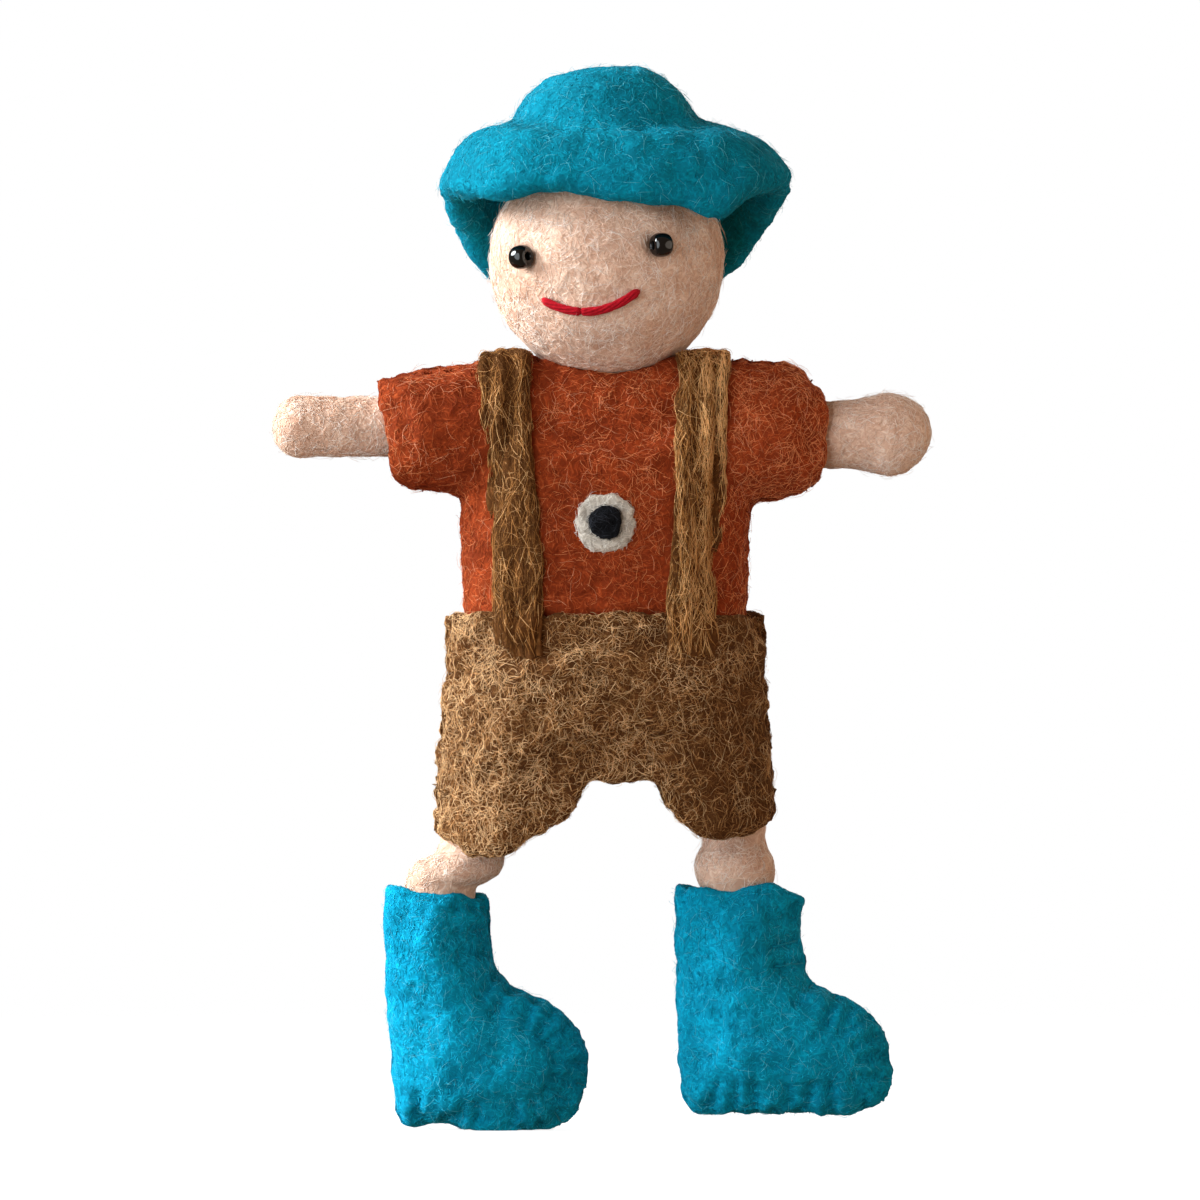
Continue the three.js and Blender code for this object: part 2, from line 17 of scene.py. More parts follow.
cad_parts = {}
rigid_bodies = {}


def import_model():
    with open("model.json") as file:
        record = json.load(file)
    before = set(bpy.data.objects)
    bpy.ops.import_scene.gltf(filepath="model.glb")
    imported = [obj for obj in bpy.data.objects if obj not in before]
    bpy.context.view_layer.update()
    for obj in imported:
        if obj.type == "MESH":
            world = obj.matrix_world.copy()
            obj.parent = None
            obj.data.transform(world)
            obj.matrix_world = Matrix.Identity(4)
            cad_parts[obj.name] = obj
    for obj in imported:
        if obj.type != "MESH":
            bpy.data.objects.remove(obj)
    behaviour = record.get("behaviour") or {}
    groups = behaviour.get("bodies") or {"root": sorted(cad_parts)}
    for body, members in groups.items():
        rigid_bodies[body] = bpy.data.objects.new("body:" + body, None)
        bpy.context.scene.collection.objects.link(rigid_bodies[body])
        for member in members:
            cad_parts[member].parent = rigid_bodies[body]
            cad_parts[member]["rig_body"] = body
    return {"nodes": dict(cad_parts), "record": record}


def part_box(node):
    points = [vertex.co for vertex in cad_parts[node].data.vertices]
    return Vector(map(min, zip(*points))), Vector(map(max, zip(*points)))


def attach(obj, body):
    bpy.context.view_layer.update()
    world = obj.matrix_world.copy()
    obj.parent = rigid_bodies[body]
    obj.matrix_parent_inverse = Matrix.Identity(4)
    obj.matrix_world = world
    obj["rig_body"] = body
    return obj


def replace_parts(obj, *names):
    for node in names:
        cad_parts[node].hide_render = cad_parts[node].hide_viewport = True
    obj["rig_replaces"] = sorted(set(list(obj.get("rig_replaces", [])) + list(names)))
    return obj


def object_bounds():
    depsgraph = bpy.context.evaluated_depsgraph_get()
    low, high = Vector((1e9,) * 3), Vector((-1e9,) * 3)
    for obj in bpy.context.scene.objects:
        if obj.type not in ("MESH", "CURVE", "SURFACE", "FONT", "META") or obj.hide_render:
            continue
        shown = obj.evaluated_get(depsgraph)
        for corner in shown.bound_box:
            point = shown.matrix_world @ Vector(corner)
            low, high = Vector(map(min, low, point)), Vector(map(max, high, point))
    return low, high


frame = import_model()
cad_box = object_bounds()
scene = bpy.context.scene
MM = 0.001

head_low, head_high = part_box("head")
HEAD_MIDDLE = (head_low + head_high) / 2
HEAD_RADIUS = (head_high.z - head_low.z) / 2

# How finely felt is meshed, how strongly each round of softening acts, and from what weight up it does
VOXEL = 0.6 * MM
FINE_VOXEL = 0.45 * MM
SOFTENING = 0.5
LEAST_WEIGHT = 0.02

# Felt is in the open where nothing lies this near, looking straight out from just above it
OPEN_AIR = 60 * MM
LOOK_LIFT = 0.15 * MM

# The cloth run that puffs felt, at a size that suits the solver, and how far felt may move
CLOTH_SCALE = 40
CLOTH_FRAMES = 20
CLOTH_PRESSURE = 4
PUFF_CAP = 0.7 * MM
PUFF_SHARES = np.array((0.15, 1, 0.15))
SEAM_HALF_WIDTH = 0.8 * MM

# Sewing thread, where along a stitch the felt puckers, how wide a pucker is as a share of the spacing, how
# far a stitch slants for its bite, how flat the felt is where a rim ends, and how much of a boot's back is a
# fold
SEWING_THREAD_RADIUS = 0.11 * MM
PUCKERS = np.linspace(0.25, 1.05, 7)
PUCKER_WIDTH = 0.3
BITE_SLANT = 0.8
RIM_FLATNESS = 0.75
FOLD_WIDTH = 2.5 * MM

# How deep a stitch's thread lies: as shares of its pucker's depth at its end, at its bite and half way to the
# edge, and as a share of its own radius at the edge
END_DEPTH = 1.2
BITE_DEPTH = 0.9
HALF_WAY_DEPTH = 0.5
EDGE_BEDDING = 0.4

# The whip stitches of each garment: their spacing and bite, and how deep they draw in its face and its edge
SHIRT_SEWING = {"spacing": 2.4 * MM, "bite": 1.7 * MM, "depth": 0.5 * MM, "dip": 0.15 * MM}
SHORTS_SEWING = {"spacing": 2.1 * MM, "bite": 1.8 * MM, "depth": 0.8 * MM, "dip": 0.4 * MM}
BOOT_SEWING = {"spacing": 2.6 * MM, "bite": 4.2 * MM, "depth": 0.7 * MM, "dip": 0.15 * MM}

# Uneven felting: the sizes and heights of its soft hills, in millimetres
SHIRT_HILLS = ((4.5, 0.9), (1.8, 0.6))
SHORTS_HILLS = ((4, 1.2), (2, 1))
BOOT_HILLS = ((5, 1.3), (1.8, 0.45))
BRACE_HILLS = ((3, 0.4),)
HAT_HILLS = ((8, 1.6), (2.5, 0.6))
BUTTON_HILLS = ((2.6, 0.9), (0.9, 0.4))
DOT_HILLS = ((2.2, 0.9), (0.9, 0.4))
FELTED_HILLS = ((4, 0.6), (1.2, 0.2))

# How far sewn edges are pressed to each other, and how deep into the felt that reaches
EDGE_PRESS = 0.9 * MM
EDGE_REACH = 4 * MM

# How far in from its seams sewn felt thins, and what is left of its depth at a seam
THINNING_REACH = 7 * MM
BOOT_EDGE_DEPTH = 0.78
SHORTS_EDGE_DEPTH = 0.8

# How far the shirt's neck and the braces lean in to the head's ball, and the gap that is left
NECK_LEAN = 1.1 * MM
NECK_REACH = 3.2 * MM
NECK_GAP = 0.15 * MM

# Where hand sewing pulled the felt out of line in the front view, in millimetres: across and up to the
# place, then the pull across and up, and how far round it reaches
HEM_PULLS = ((-20.8, -8.2, 0.4, 1.8, 3), (-14, -8.2, 0, -1.3, 4), (-6.8, -8.2, -0.6, 1.8, 2.5),
             (20.7, -7, -0.4, 2, 3), (9.5, -6.5, 0.4, 0.6, 2.5))
BOOT_PULLS = {
    "left": ((-13.9, -12.4, 0, -1.4, 3), (-19.9, -41.9, 0, 0.8, 2.2), (-12, -41.9, 0, -0.6, 4)),
    "right": ((23.6, -12.4, 0.6, -1.4, 2.2), (18.5, -12.4, 0, 1, 2.5))}
CUFF_PULLS = ((-25.4, 33.8, 0.6, 0.9, 1.6), (26.6, 49, -0.7, -1.4, 2.4), (27, 34.8, -0.9, 1.1, 2.4))
LEG_PULLS = {"left": ((-20.5, -8.8, -0.8, 0, 3),), "right": ()}
HAT_PULLS = ((0, 85, 0, -0.9, 8), (-5, 69, 0, 1.2, 5), (12.5, 68.5, 0.3, -2.2, 4),
             (-14.2, 62.2, 0, -1.4, 3))

# Wool grows on the hat's underside too, where this much air lies between brim and head
HAT_AIR = 6 * MM

# Boot rims dip in front of the leg
RIM_DIP = 0.9 * MM
RIM_DIP_WIDTH = 4 * MM
RIM_HEIGHT = 5 * MM
RIM_SOFTENING = 7

# Braces are carded wool laid lengthwise: the size and relief of its strands, how much of the relief the top
# loses, and how far the edges wander, in how many waves on a strand's length
STRAND_WIDTH = 1 * MM
STRAND_LENGTH = 14 * MM
STRAND_RELIEF = 0.8 * MM
STRAND_CALM = 0.7
BRACE_HALF_WIDTH = 3 * MM
BRACE_WANDER = 0.9 * MM
BRACE_WAVES = 3

# The felt under a brace is probed from in front and behind at steps down and columns across it, and its
# hollows are bridged with these weights
PROBE_DISTANCE = 100 * MM
BRACE_STEP = 0.5 * MM
BRACE_COLUMNS = np.linspace(-1.2, 1.2, 9) * BRACE_HALF_WIDTH
BRACE_EASING = np.exp(-np.linspace(-2, 2, 13) ** 2)

# How a brace lies there: how thick, with how much less at its edges, over what length its ends fade, what is
# left at the lower ones, how far below the top needling starts as a share of that length, how deep the wool
# bites, how far its top sinks, and the least depth of a strip that is shared out
BRACE_THICK = 1.5 * MM
BRACE_DOME = 0.8
BRACE_FADE = 4 * MM
BRACE_LEAST = 0.1
BRACE_HOLD = 0.4
BRACE_BITE = 0.25 * MM
BRACE_SINK = 0.9 * MM
BRACE_LEAST_DEPTH = 0.1 * MM

# The face, turned and tilted on the head's ball as in the solids
FACE_TURN = math.radians(-8.5)
FACE_TILT = math.radians(-4.6)
SMILE_X = -0.5 * MM
SMILE_HALF_WIDTH = 5.9 * MM
SMILE_DROP = 6.35 * MM
SMILE_CURVE = 2 * MM
SMILE_STITCHES = ((0.0, 0.42), (0.385, 0.76), (0.69, 1.0))

# The mouth's thread: its steps on each stitch, how far it rises from how deep, in millimetres, how steeply it
# dives, how its plies gather there, and their number, thickness, spread, height and twist
MOUTH_STEPS = 28
MOUTH_LIFT = 0.75
MOUTH_DEPTH = 0.4
MOUTH_DIVE = 3.5
MOUTH_GATHER = 0.35
MOUTH_PLIES = 6
MOUTH_PLY_RADIUS = 0.22 * MM
MOUTH_SPREAD = 0.36 * MM
MOUTH_RISE = 0.14 * MM
MOUTH_TWIST = 11 * MM

# The photograph's view: square, from straight ahead, and as wide as this at the puppet's middle
VIEW_WIDTH = 144 * MM
VIEW_MIDDLE = Vector((-0.6 * MM, 0, 21.6 * MM))
VIEW_DISTANCE = 1.2
SENSOR_WIDTH = 36

# Where each light comes from, seen from the puppet, with its strength, its spread in degrees and its colour:
# a window on the left, a pale wall behind the camera on the same side, and dimmer ones behind the puppet and
# on its right
LIGHTS = (
    (Vector((-0.9, 0.03, 0.43)), 6.6, 30, (0.92, 1, 1.04)),
    (Vector((-0.7, -0.7, 0.05)), 2.5, 60, (0.92, 1, 1.06)),
    (Vector((0.1, 0.95, 0.25)), 1.3, 60, (1, 0.97, 0.94)),
    (Vector((0.95, -0.25, 0)), 1, 60, (1, 0.88, 0.76)))

# What the room gives back, and the floor: its radius and where it fades out, in metres
ROOM_COLOUR = (1, 0.7, 0.48, 1)
ROOM_STRENGTH = 0.24
FLOOR_RADIUS = 0.36
FLOOR_FADE = (0.14, 0.34)


# Materials

def linear(value):
    """An sRGB hex colour as linear red, green, blue and alpha."""
    channels = [(value >> shift & 255) / 255 for shift in (16, 8, 0)]
    return [c / 12.92 if c <= 0.04045 else ((c + 0.055) / 1.055) ** 2.4 for c in channels] + [1]


def per_metre(millimetres):
    """A pattern's scale from the real size of one of its features."""
    return 1 / (millimetres * MM)


def add(tree, kind, inputs=(), **settings):
    """A new node with its settings, and its inputs linked or set."""
    made = tree.nodes.new(kind)
    for name, value in settings.items():
        setattr(made, name, value)
    for name, value in dict(inputs).items():
        if isinstance(value, bpy.types.NodeSocket):
            tree.links.new(value, made.inputs[name])
        else:
            made.inputs[name].default_value = value
    return made


def new_material(name, **sockets):
    """A new material, with constant values on its shader's own sockets."""
    material = bpy.data.materials.new(name)
    material.use_nodes = True
    shader = material.node_tree.nodes["Principled BSDF"]
    for socket, value in sockets.items():
        shader.inputs[socket.replace("_", " ")].default_value = value
    return material, material.node_tree, shader


def felted_wool(name, base, pale, deep):
    """Needle-felted wool: matt, unevenly dyed, a mat of curly fibres, with painted shade in the hollows
    between them.
    """
    material, tree, shader = new_material(
        name, Roughness=0.95, Specular_IOR_Level=0.1,
        Sheen_Weight=0.1, Sheen_Roughness=0.5, Sheen_Tint=linear(pale))
    place = add(tree, "ShaderNodeTexCoord").outputs["Object"]
    mottle = add(tree, "ShaderNodeTexNoise", {"Vector": place, "Scale": per_metre(5), "Detail": 3.0})
    curls = []
    # The size of a tuft in millimetres, and how many curled fibres cross it, drawn coarse enough to show
    for size, turns in ((2.2, 7.0), (1.4, 5.0)):
        field = add(tree, "ShaderNodeTexNoise", {
            "Vector": place, "Scale": per_metre(size), "Detail": 1.0, "Distortion": 0.4})
        bands = add(tree, "ShaderNodeMath", {0: field.outputs["Fac"], 1: turns}, operation="MULTIPLY")
        saw = add(tree, "ShaderNodeMath", {0: bands.outputs[0], 1: 0.5}, operation="PINGPONG")
        line = add(tree, "ShaderNodeMapRange", {
            "Value": saw.outputs[0], "From Min": 0.0, "From Max": 0.28, "To Min": 1.0, "To Max": 0.0})
        patch = add(tree, "ShaderNodeTexNoise", {"Vector": place, "Scale": per_metre(size * 0.5)})
        end = add(tree, "ShaderNodeMapRange", {
            "Value": patch.outputs["Fac"], "From Min": 0.42, "From Max": 0.56,
            "To Min": 0.1, "To Max": 1.0})
        curl = add(tree, "ShaderNodeMath", {0: line.outputs["Result"], 1: end.outputs["Result"]},
                   operation="MULTIPLY")
        curls.append(curl.outputs[0])
    tangle = add(tree, "ShaderNodeMath", {0: curls[0], 1: curls[1]}, operation="MAXIMUM").outputs[0]
    # Painted shade: the wool darkens where the tangle of fibres is low, in the hollows between tufts
    painted_hollow_shade = add(tree, "ShaderNodeMapRange", {
        "Value": tangle, "From Min": 0.0, "From Max": 0.5, "To Min": 0.45, "To Max": 0.0})
    bright = add(tree, "ShaderNodeMapRange", {
        "Value": curls[0], "From Min": 0.55, "From Max": 1.0, "To Min": 0.0, "To Max": 0.3})
    dyed = add(tree, "ShaderNodeMapRange", {
        "Value": mottle.outputs["Fac"], "From Min": 0.35, "From Max": 0.65,
        "To Min": 0.4, "To Max": 0.0})
    colour = linear(base)
    # The mottled dye, the painted shade in the hollows and the pale fibres, mixed in that order
    for share, other in ((dyed, deep), (painted_hollow_shade, deep), (bright, pale)):
        mix = add(tree, "ShaderNodeMix", {0: share.outputs["Result"], 6: colour, 7: linear(other)},
                  data_type="RGBA")
        colour = mix.outputs[2]
    tree.links.new(colour, shader.inputs["Base Color"])
    bump = add(tree, "ShaderNodeBump", {"Height": tangle, "Strength": 0.4, "Distance": 0.12 * MM})
    tree.links.new(bump.outputs["Normal"], shader.inputs["Normal"])
    return material


def wool_fibre(name, colour):
    """One loose wool fibre: one dye all along, and a soft gleam on its scales."""
    return new_material(name, Base_Color=linear(colour), Roughness=0.8, Specular_IOR_Level=0.12)[0]


def black_glass():
    """Pressed black glass: a wet-looking gloss, faintly smeared by handling."""
    material, tree, shader = new_material("black_glass", Base_Color=linear(0x08080A), IOR=1.52)
    place = add(tree, "ShaderNodeTexCoord").outputs["Object"]
    smear = add(tree, "ShaderNodeTexNoise", {"Vector": place, "Scale": per_metre(0.8), "Detail": 3.0})
    gloss = add(tree, "ShaderNodeMapRange", {
        "Value": smear.outputs["Fac"], "From Min": 0.3, "From Max": 0.7, "To Min": 0.04, "To Max": 0.12})
    tree.links.new(gloss.outputs["Result"], shader.inputs["Roughness"])
    return material


def cotton_thread(name, bright, dark):
    """Stranded cotton thread: a dull gleam, and a dye that is uneven along its strands."""
    material, tree, shader = new_material(
        name, Roughness=0.9, Specular_IOR_Level=0.08, Sheen_Weight=0.1, Sheen_Roughness=0.4)
    place = add(tree, "ShaderNodeTexCoord").outputs["Object"]
    fuzz = add(tree, "ShaderNodeTexNoise", {"Vector": place, "Scale": per_metre(0.35), "Detail": 4.0})
    mix = add(tree, "ShaderNodeMix", {0: fuzz.outputs["Fac"], 6: linear(bright), 7: linear(dark)},
              data_type="RGBA")
    tree.links.new(mix.outputs[2], shader.inputs["Base Color"])
    bump = add(tree, "ShaderNodeBump", {
        "Height": fuzz.outputs["Fac"], "Strength": 0.4, "Distance": 0.05 * MM})
    tree.links.new(bump.outputs["Normal"], shader.inputs["Normal"])
    return material


class Felt:
    """One dyed wool: its matted surface, and the dyes of its nap and of its strays from dark to pale."""

    NAP_SHARES = (0.3, 0.4, 0.3)
    STRAY_SHARES = (0.4, 0.6)

    def __init__(self, name, slot, base, pale, deep, nap=(), strays=()):
        self.slot = slot
        self.surface = felted_wool(f"{name}_wool_felt", base, pale, deep)
        self.nap = [wool_fibre(f"{name}_wool_nap_{n}", colour) for n, colour in enumerate(nap)]
        self.strays = [wool_fibre(f"{name}_wool_stray_{n}", colour) for n, colour in enumerate(strays)]


teal = Felt("teal", "teal_felt", 0x018AA4, 0x10A8C2, 0x01566A,
            (0x027289, 0x0192AE, 0x06ACCA), (0x22A0B8, 0x5CBCCC))
# The boots' teal is the hat's teal felt made brighter, as painted light: the boots face the lamps less than
# the hat does
boot_teal = Felt("boot_teal", "teal_felt", 0x01A6CC, 0x18D0F4, 0x016482,
                 (0x0184A4, 0x02B2DA, 0x26DAFC), (0x22B4D2, 0x66D4E8))
rust = Felt("rust", "rust_felt", 0x9C3E1A, 0xDC7240, 0x5A1E0B,
            (0x8C3415, 0xCC6234, 0xF09460), (0xD67648, 0xEEA27A))
brown = Felt("brown", "brown_felt", 0x643C1C, 0xC09460, 0x2C1708,
             (0x80552E, 0xCC9660, 0xF4C894), (0xC89A68, 0xECC290))
brace_brown = Felt("brace_brown", "brown_felt", 0x6A401C, 0xB88450, 0x301909,
                   (0x6A421E, 0xBA8046, 0xF0BA7C), (0xBA8046, 0xECB478))
skin = Felt("skin", "skin_wool", 0xEECDB6, 0xFFF2E6, 0xB8866C,
            (0xE8BEA2, 0xFAE0CC, 0xFFF2E8), (0xF8D8C2, 0xFFF6EE))
white = Felt("white", "white_wool", 0xE6DED2, 0xFCF8F0, 0x948A7E,
             (0xB4AAA0, 0xE8E0D4, 0xF8F2E8), (0xE0D6CA, 0xFFFCF6))
black = Felt("black", "black_wool", 0x17181C, 0x3E3E44, 0x08080A,
             (0x101014, 0x202228, 0x363840), (0x2A2C32, 0x42444C))
undyed = Felt("undyed", "stuffing_wool", 0xE2DACB, 0xF5EFE4, 0xA89C8A)


# Meshes

def points_of(piece, kind="co"):
    values = np.empty(3 * len(piece.data.vertices), np.float32)
    piece.data.vertices.foreach_get(kind, values)
    return values.reshape(-1, 3).astype(float)


def move_points(piece, points):
    piece.data.vertices.foreach_set("co", points.astype(np.float32).ravel())
    piece.data.update()


def select_only(*pieces):
    bpy.ops.object.select_all(action="DESELECT")
    for piece in pieces:
        piece.select_set(True)
    bpy.context.view_layer.objects.active = pieces[0]


def apply_modifier(piece, kind, **settings):
    select_only(piece)
    modifier = piece.modifiers.new(kind, kind)
    for name, value in settings.items():
        setattr(modifier, name, value)
    bpy.ops.object.modifier_apply(modifier=modifier.name)


def copy_of(node, name):
    """A new object from a copy of a solid, with its loose triangles merged."""
    piece = bpy.data.objects.new(name, frame["nodes"][node].data.copy())
    scene.collection.objects.link(piece)
    piece.data.materials.clear()
    select_only(piece)
    bpy.ops.object.mode_set(mode="EDIT")
    bpy.ops.mesh.select_all(action="SELECT")
    bpy.ops.mesh.remove_doubles(threshold=0.001 * MM)
    bpy.ops.object.mode_set(mode="OBJECT")
    return piece


def soften(piece, rounds):
    apply_modifier(piece, "SMOOTH", factor=SOFTENING, iterations=rounds)


def soften_where(piece, weights, rounds):
    group = piece.vertex_groups.new(name="softer")
    for index in np.flatnonzero(weights > LEAST_WEIGHT):
        group.add([int(index)], float(weights[index]), "REPLACE")
    apply_modifier(piece, "SMOOTH", factor=SOFTENING, iterations=rounds, vertex_group=group.name)
    piece.vertex_groups.clear()


def felt_blank(node, voxel=VOXEL, rounds=5):
    """A felt piece before it is shaped: an even, closed, soft-edged copy of its solid."""
    piece = copy_of(node, f"{node}_felt")
    apply_modifier(piece, "REMESH", mode="VOXEL", voxel_size=voxel)
    soften(piece, rounds)
    return piece


def swell(piece, height):
    """Every point moves out along its normal, by one height or by each its own."""
    heights = np.broadcast_to(height, len(piece.data.vertices))
    move_points(piece, points_of(piece) + points_of(piece, "normal") * heights[:, None])


def tree_of(*objects):
    points, faces = [], []
    for item in objects:
        first = len(points)
        points += [v.co for v in item.data.vertices]
        faces += [[first + v for v in face.vertices] for face in item.data.polygons]
    return BVHTree.FromPolygons(points, faces)


def in_open_air(tree, points, normals, reach=OPEN_AIR):
    """Which points see nothing of the tree within reach, looking straight out."""
    found = []
    for point, normal in zip(points, normals):
        look = Vector(normal)
        found.append(tree.ray_cast(Vector(point) + look * LOOK_LIFT, look, reach)[0] is None)
    return np.array(found)


def lumps(piece, hills):
    """Uneven felting: soft hills of one size after another."""
    for size, height in hills:
        texture = bpy.data.textures.new("felting", "CLOUDS")
        texture.noise_scale = size * MM
        texture.noise_depth = 2
        apply_modifier(piece, "DISPLACE", texture=texture, texture_coords="LOCAL", strength=height * MM,
                       mid_level=0.5)


def puff(piece, held):
    """Wool behind the felt pushes it out between what holds it: a short cloth run, capped.

    Felt hardly stretches, so nearly all of the push goes to the front and back, and open ends stay in
    place.
    """
    before = points_of(piece)
    piece.data.transform(Matrix.Scale(CLOTH_SCALE, 4))
    group = piece.vertex_groups.new(name="held")
    group.add(np.flatnonzero(held).tolist(), 1, "REPLACE")
    cloth = piece.modifiers.new("puff", "CLOTH")
    cloth.settings.use_pressure = True
    cloth.settings.uniform_pressure_force = CLOTH_PRESSURE
    cloth.settings.vertex_group_mass = group.name
    cloth.settings.effector_weights.gravity = 0
    for step in range(1, CLOTH_FRAMES + 1):
        scene.frame_set(step)
    select_only(piece)
    bpy.ops.object.modifier_apply(modifier=cloth.name)
    scene.frame_set(1)
    piece.vertex_groups.clear()
    moved = (points_of(piece) / CLOTH_SCALE - before) * PUFF_SHARES
    far = np.linalg.norm(moved, axis=1, keepdims=True)
    move_points(piece, before + moved * np.minimum(1, PUFF_CAP / np.maximum(far, 1e-9)))


def tug(piece, x, z, across, up, reach):
    """Felt pulled across and up round one place of the front view, in millimetres."""
    points = points_of(piece)
    far = np.hypot(points[:, 0] / MM - x, points[:, 2] / MM - z)
    points += np.exp(-(far / reach) ** 2)[:, None] * np.array((across, 0, up)) * MM
    move_points(piece, points)


def draw_in(piece, places, depth, reach):
    """Stitches pull the felt in round each of their places."""
    points = points_of(piece)
    nearest = np.full(len(points), np.inf)
    for place in places:
        nearest = np.minimum(nearest, np.linalg.norm(points - place, axis=1))
    swell(piece, -depth * np.exp(-(nearest / reach) ** 2))


def lean_to_head(piece):
    """Felt at the neck leans in until it all but touches the head's ball."""
    points = points_of(piece)
    middle = np.array(HEAD_MIDDLE)
    out = unit(points - middle)
    gap = np.linalg.norm(points - middle, axis=1) - HEAD_RADIUS
    leaning = np.maximum(NECK_GAP, gap - NECK_LEAN * np.clip(1 - gap / NECK_REACH, 0, 1))
    near = gap < NECK_REACH
    points[near] = middle + out[near] * (HEAD_RADIUS + leaning[near, None])
    move_points(piece, points)


def walk(points, spacing):
    """The numbers of points a spacing apart, walked along a seam from its lowest point."""
    left = np.arange(len(points))
    here = int(points[:, 2].argmin())
    places = [here]
    while True:
        left = left[np.linalg.norm(points[left] - points[here], axis=1) > spacing]
        if not len(left):
            return places
        here = int(left[np.linalg.norm(points[left] - points[here], axis=1).argmin()])
        places.append(here)


def finished(piece, body, felt, *nodes):
    """The piece rides on its body, in its wool, and stands for its solids."""
    piece.data.materials.clear()
    piece.data.materials.append(felt.surface)
    piece.data.shade_smooth()
    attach(piece, body)
    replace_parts(piece, *nodes)
    return piece


# Threads and fibres: thin closed tubes with pointed ends

def unit(vectors):
    return vectors / np.maximum(np.linalg.norm(vectors, axis=-1, keepdims=True), 1e-12)


def tubes(name, paths, ups, radii, sides, materials, picks=None):
    """One mesh of many tubes along paths of equal step counts, each with its own radius."""
    count, steps = paths.shape[:2]
    along = unit(np.gradient(paths, axis=1))
    across = unit(np.cross(along, ups))
    over = np.cross(across, along)
    turn = 2 * np.pi * np.arange(sides) / sides
    spokes = (np.cos(turn)[:, None] * across[:, 1:-1, None]
              + np.sin(turn)[:, None] * over[:, 1:-1, None])
    rings = paths[:, 1:-1, None] + spokes * radii[:, None, None, None]
    points = np.concatenate([paths[:, :1], rings.reshape(count, -1, 3), paths[:, -1:]], axis=1)
    last = points.shape[1] - 1
    faces = []
    for s in range(sides):
        t = (s + 1) % sides
        faces.append((0, 1 + s, 1 + t))
        faces.append((last, last - sides + t, last - sides + s))
        for r in range(steps - 3):
            a, b = 1 + r * sides + s, 1 + r * sides + t
            faces += [(a, a + sides, b), (b, a + sides, b + sides)]
    faces = np.array(faces)
    corners = (faces[None] + np.arange(count)[:, None, None] * points.shape[1]).reshape(-1, 3)
    mesh = bpy.data.meshes.new(name)
    mesh.vertices.add(count * points.shape[1])
    mesh.vertices.foreach_set("co", points.astype(np.float32).ravel())
    mesh.loops.add(corners.size)
    mesh.loops.foreach_set("vertex_index", corners.astype(np.int32).ravel())
    mesh.polygons.add(len(corners))
    mesh.polygons.foreach_set("loop_start", np.arange(0, corners.size, 3, dtype=np.int32))
    for material in materials:
        mesh.materials.append(material)
    if picks is not None:
        mesh.polygons.foreach_set("material_index", np.repeat(picks, len(faces)).astype(np.int32))
    mesh.update(calc_edges=True)
    mesh.shade_smooth()
    piece = bpy.data.objects.new(name, mesh)
    scene.collection.objects.link(piece)
    return piece


@dataclass
class Layer:
    """One layer of loose wool: fibres for each square millimetre, and their sizes in millimetres.

    Fibres bow up by their lift, and stray ones stand off at the far end by their stand. A fibre bends
    by up to about bend radians a step. Combed wool runs round the combed axis, the more loosely the more
    it is astray, and other wool any way. The share of pale wool can grow across a piece as painted light
    and shade: by the last field's value with each metre to the left, and to the right where that value is
    negative, so that one side looks lit and the other shaded.
    """
    density: float
    length: tuple
    lift: tuple
    radius: tuple
    bend: float = 0.45
    stand: tuple = (0, 0)
    combed: tuple = None
    astray: float = 0.15
    steps: int = 4
    # Painted side light: how much the share of pale wool grows with each metre to the left
    painted_side_light: float = 0


NAP = Layer(density=5, length=(1.4, 3.2), lift=(0, 0.14), radius=(0.02, 0.036))
STRAYS = Layer(density=0.5, length=(1.5, 4), lift=(0.05, 0.25), radius=(0.013, 0.022), bend=0.35,
               stand=(0, 0.8), steps=5)
# The shirt's nap is paler to the right: painted light on that side
SHIRT_NAP = replace(NAP, radius=(0.018, 0.032), painted_side_light=-18)
SKIN_NAP = replace(NAP, density=7)
SMOOTH_NAP = replace(NAP, density=6.5, length=(0.8, 2), lift=(0, 0.09), radius=(0.018, 0.032), steps=3)
BOOT_NAP = replace(SMOOTH_NAP, length=(1, 2.4), combed=(1, 0, 0), astray=0.6)
FEW_STRAYS = replace(STRAYS, density=0.6, length=(1, 3), radius=(0.012, 0.02), steps=4)
# The shorts' nap is paler to the left and darker to the right: painted light and shade
CURLY_NAP = replace(NAP, density=6.6, length=(1.6, 3.6), lift=(0, 0.16), bend=0.6, painted_side_light=18)
CURLY_STRAYS = replace(STRAYS, density=0.6, length=(2.5, 5.5), lift=(0.1, 0.35), bend=0.5,
                       stand=(0, 0.5), steps=7)
# The braces' wool is paler to the right and darker to the left: painted light and shade
ROVING = Layer(density=8, length=(3, 7), lift=(0, 0.25), radius=(0.02, 0.038), bend=0.16,
               combed=(1, 0, 0), steps=5, painted_side_light=-30)
BUTTON_NAP = replace(NAP, density=9, length=(0.8, 2), lift=(0, 0.3))
BUTTON_STRAYS = replace(STRAYS, density=2.5, length=(0.8, 2), stand=(0, 0.6))
NECK_NAP = replace(NAP, density=2)

# Dyes gather in patches: their size, their detail as noise.fractal takes it, and how strongly they gather
PATCH = 4 * MM
PATCH_DETAIL = (0.6, 2.5, 2)
PATCHINESS = 0.7

# No wool grows this near under another piece. This near to a piece that moves, it is pressed to this lift.
COVER_REACH = 3 * MM
MOVER_REACH = 2.5 * MM
PRESSED_LIFT = 0.1

# How deep a fibre's root and tip lie in the felt, how its far end curves up to stand off, and how much of
# its bend changes from step to step
ROOT_DEPTH = 0.03 * MM
STAND_CURVE = 1.6
WIGGLE = 0.55


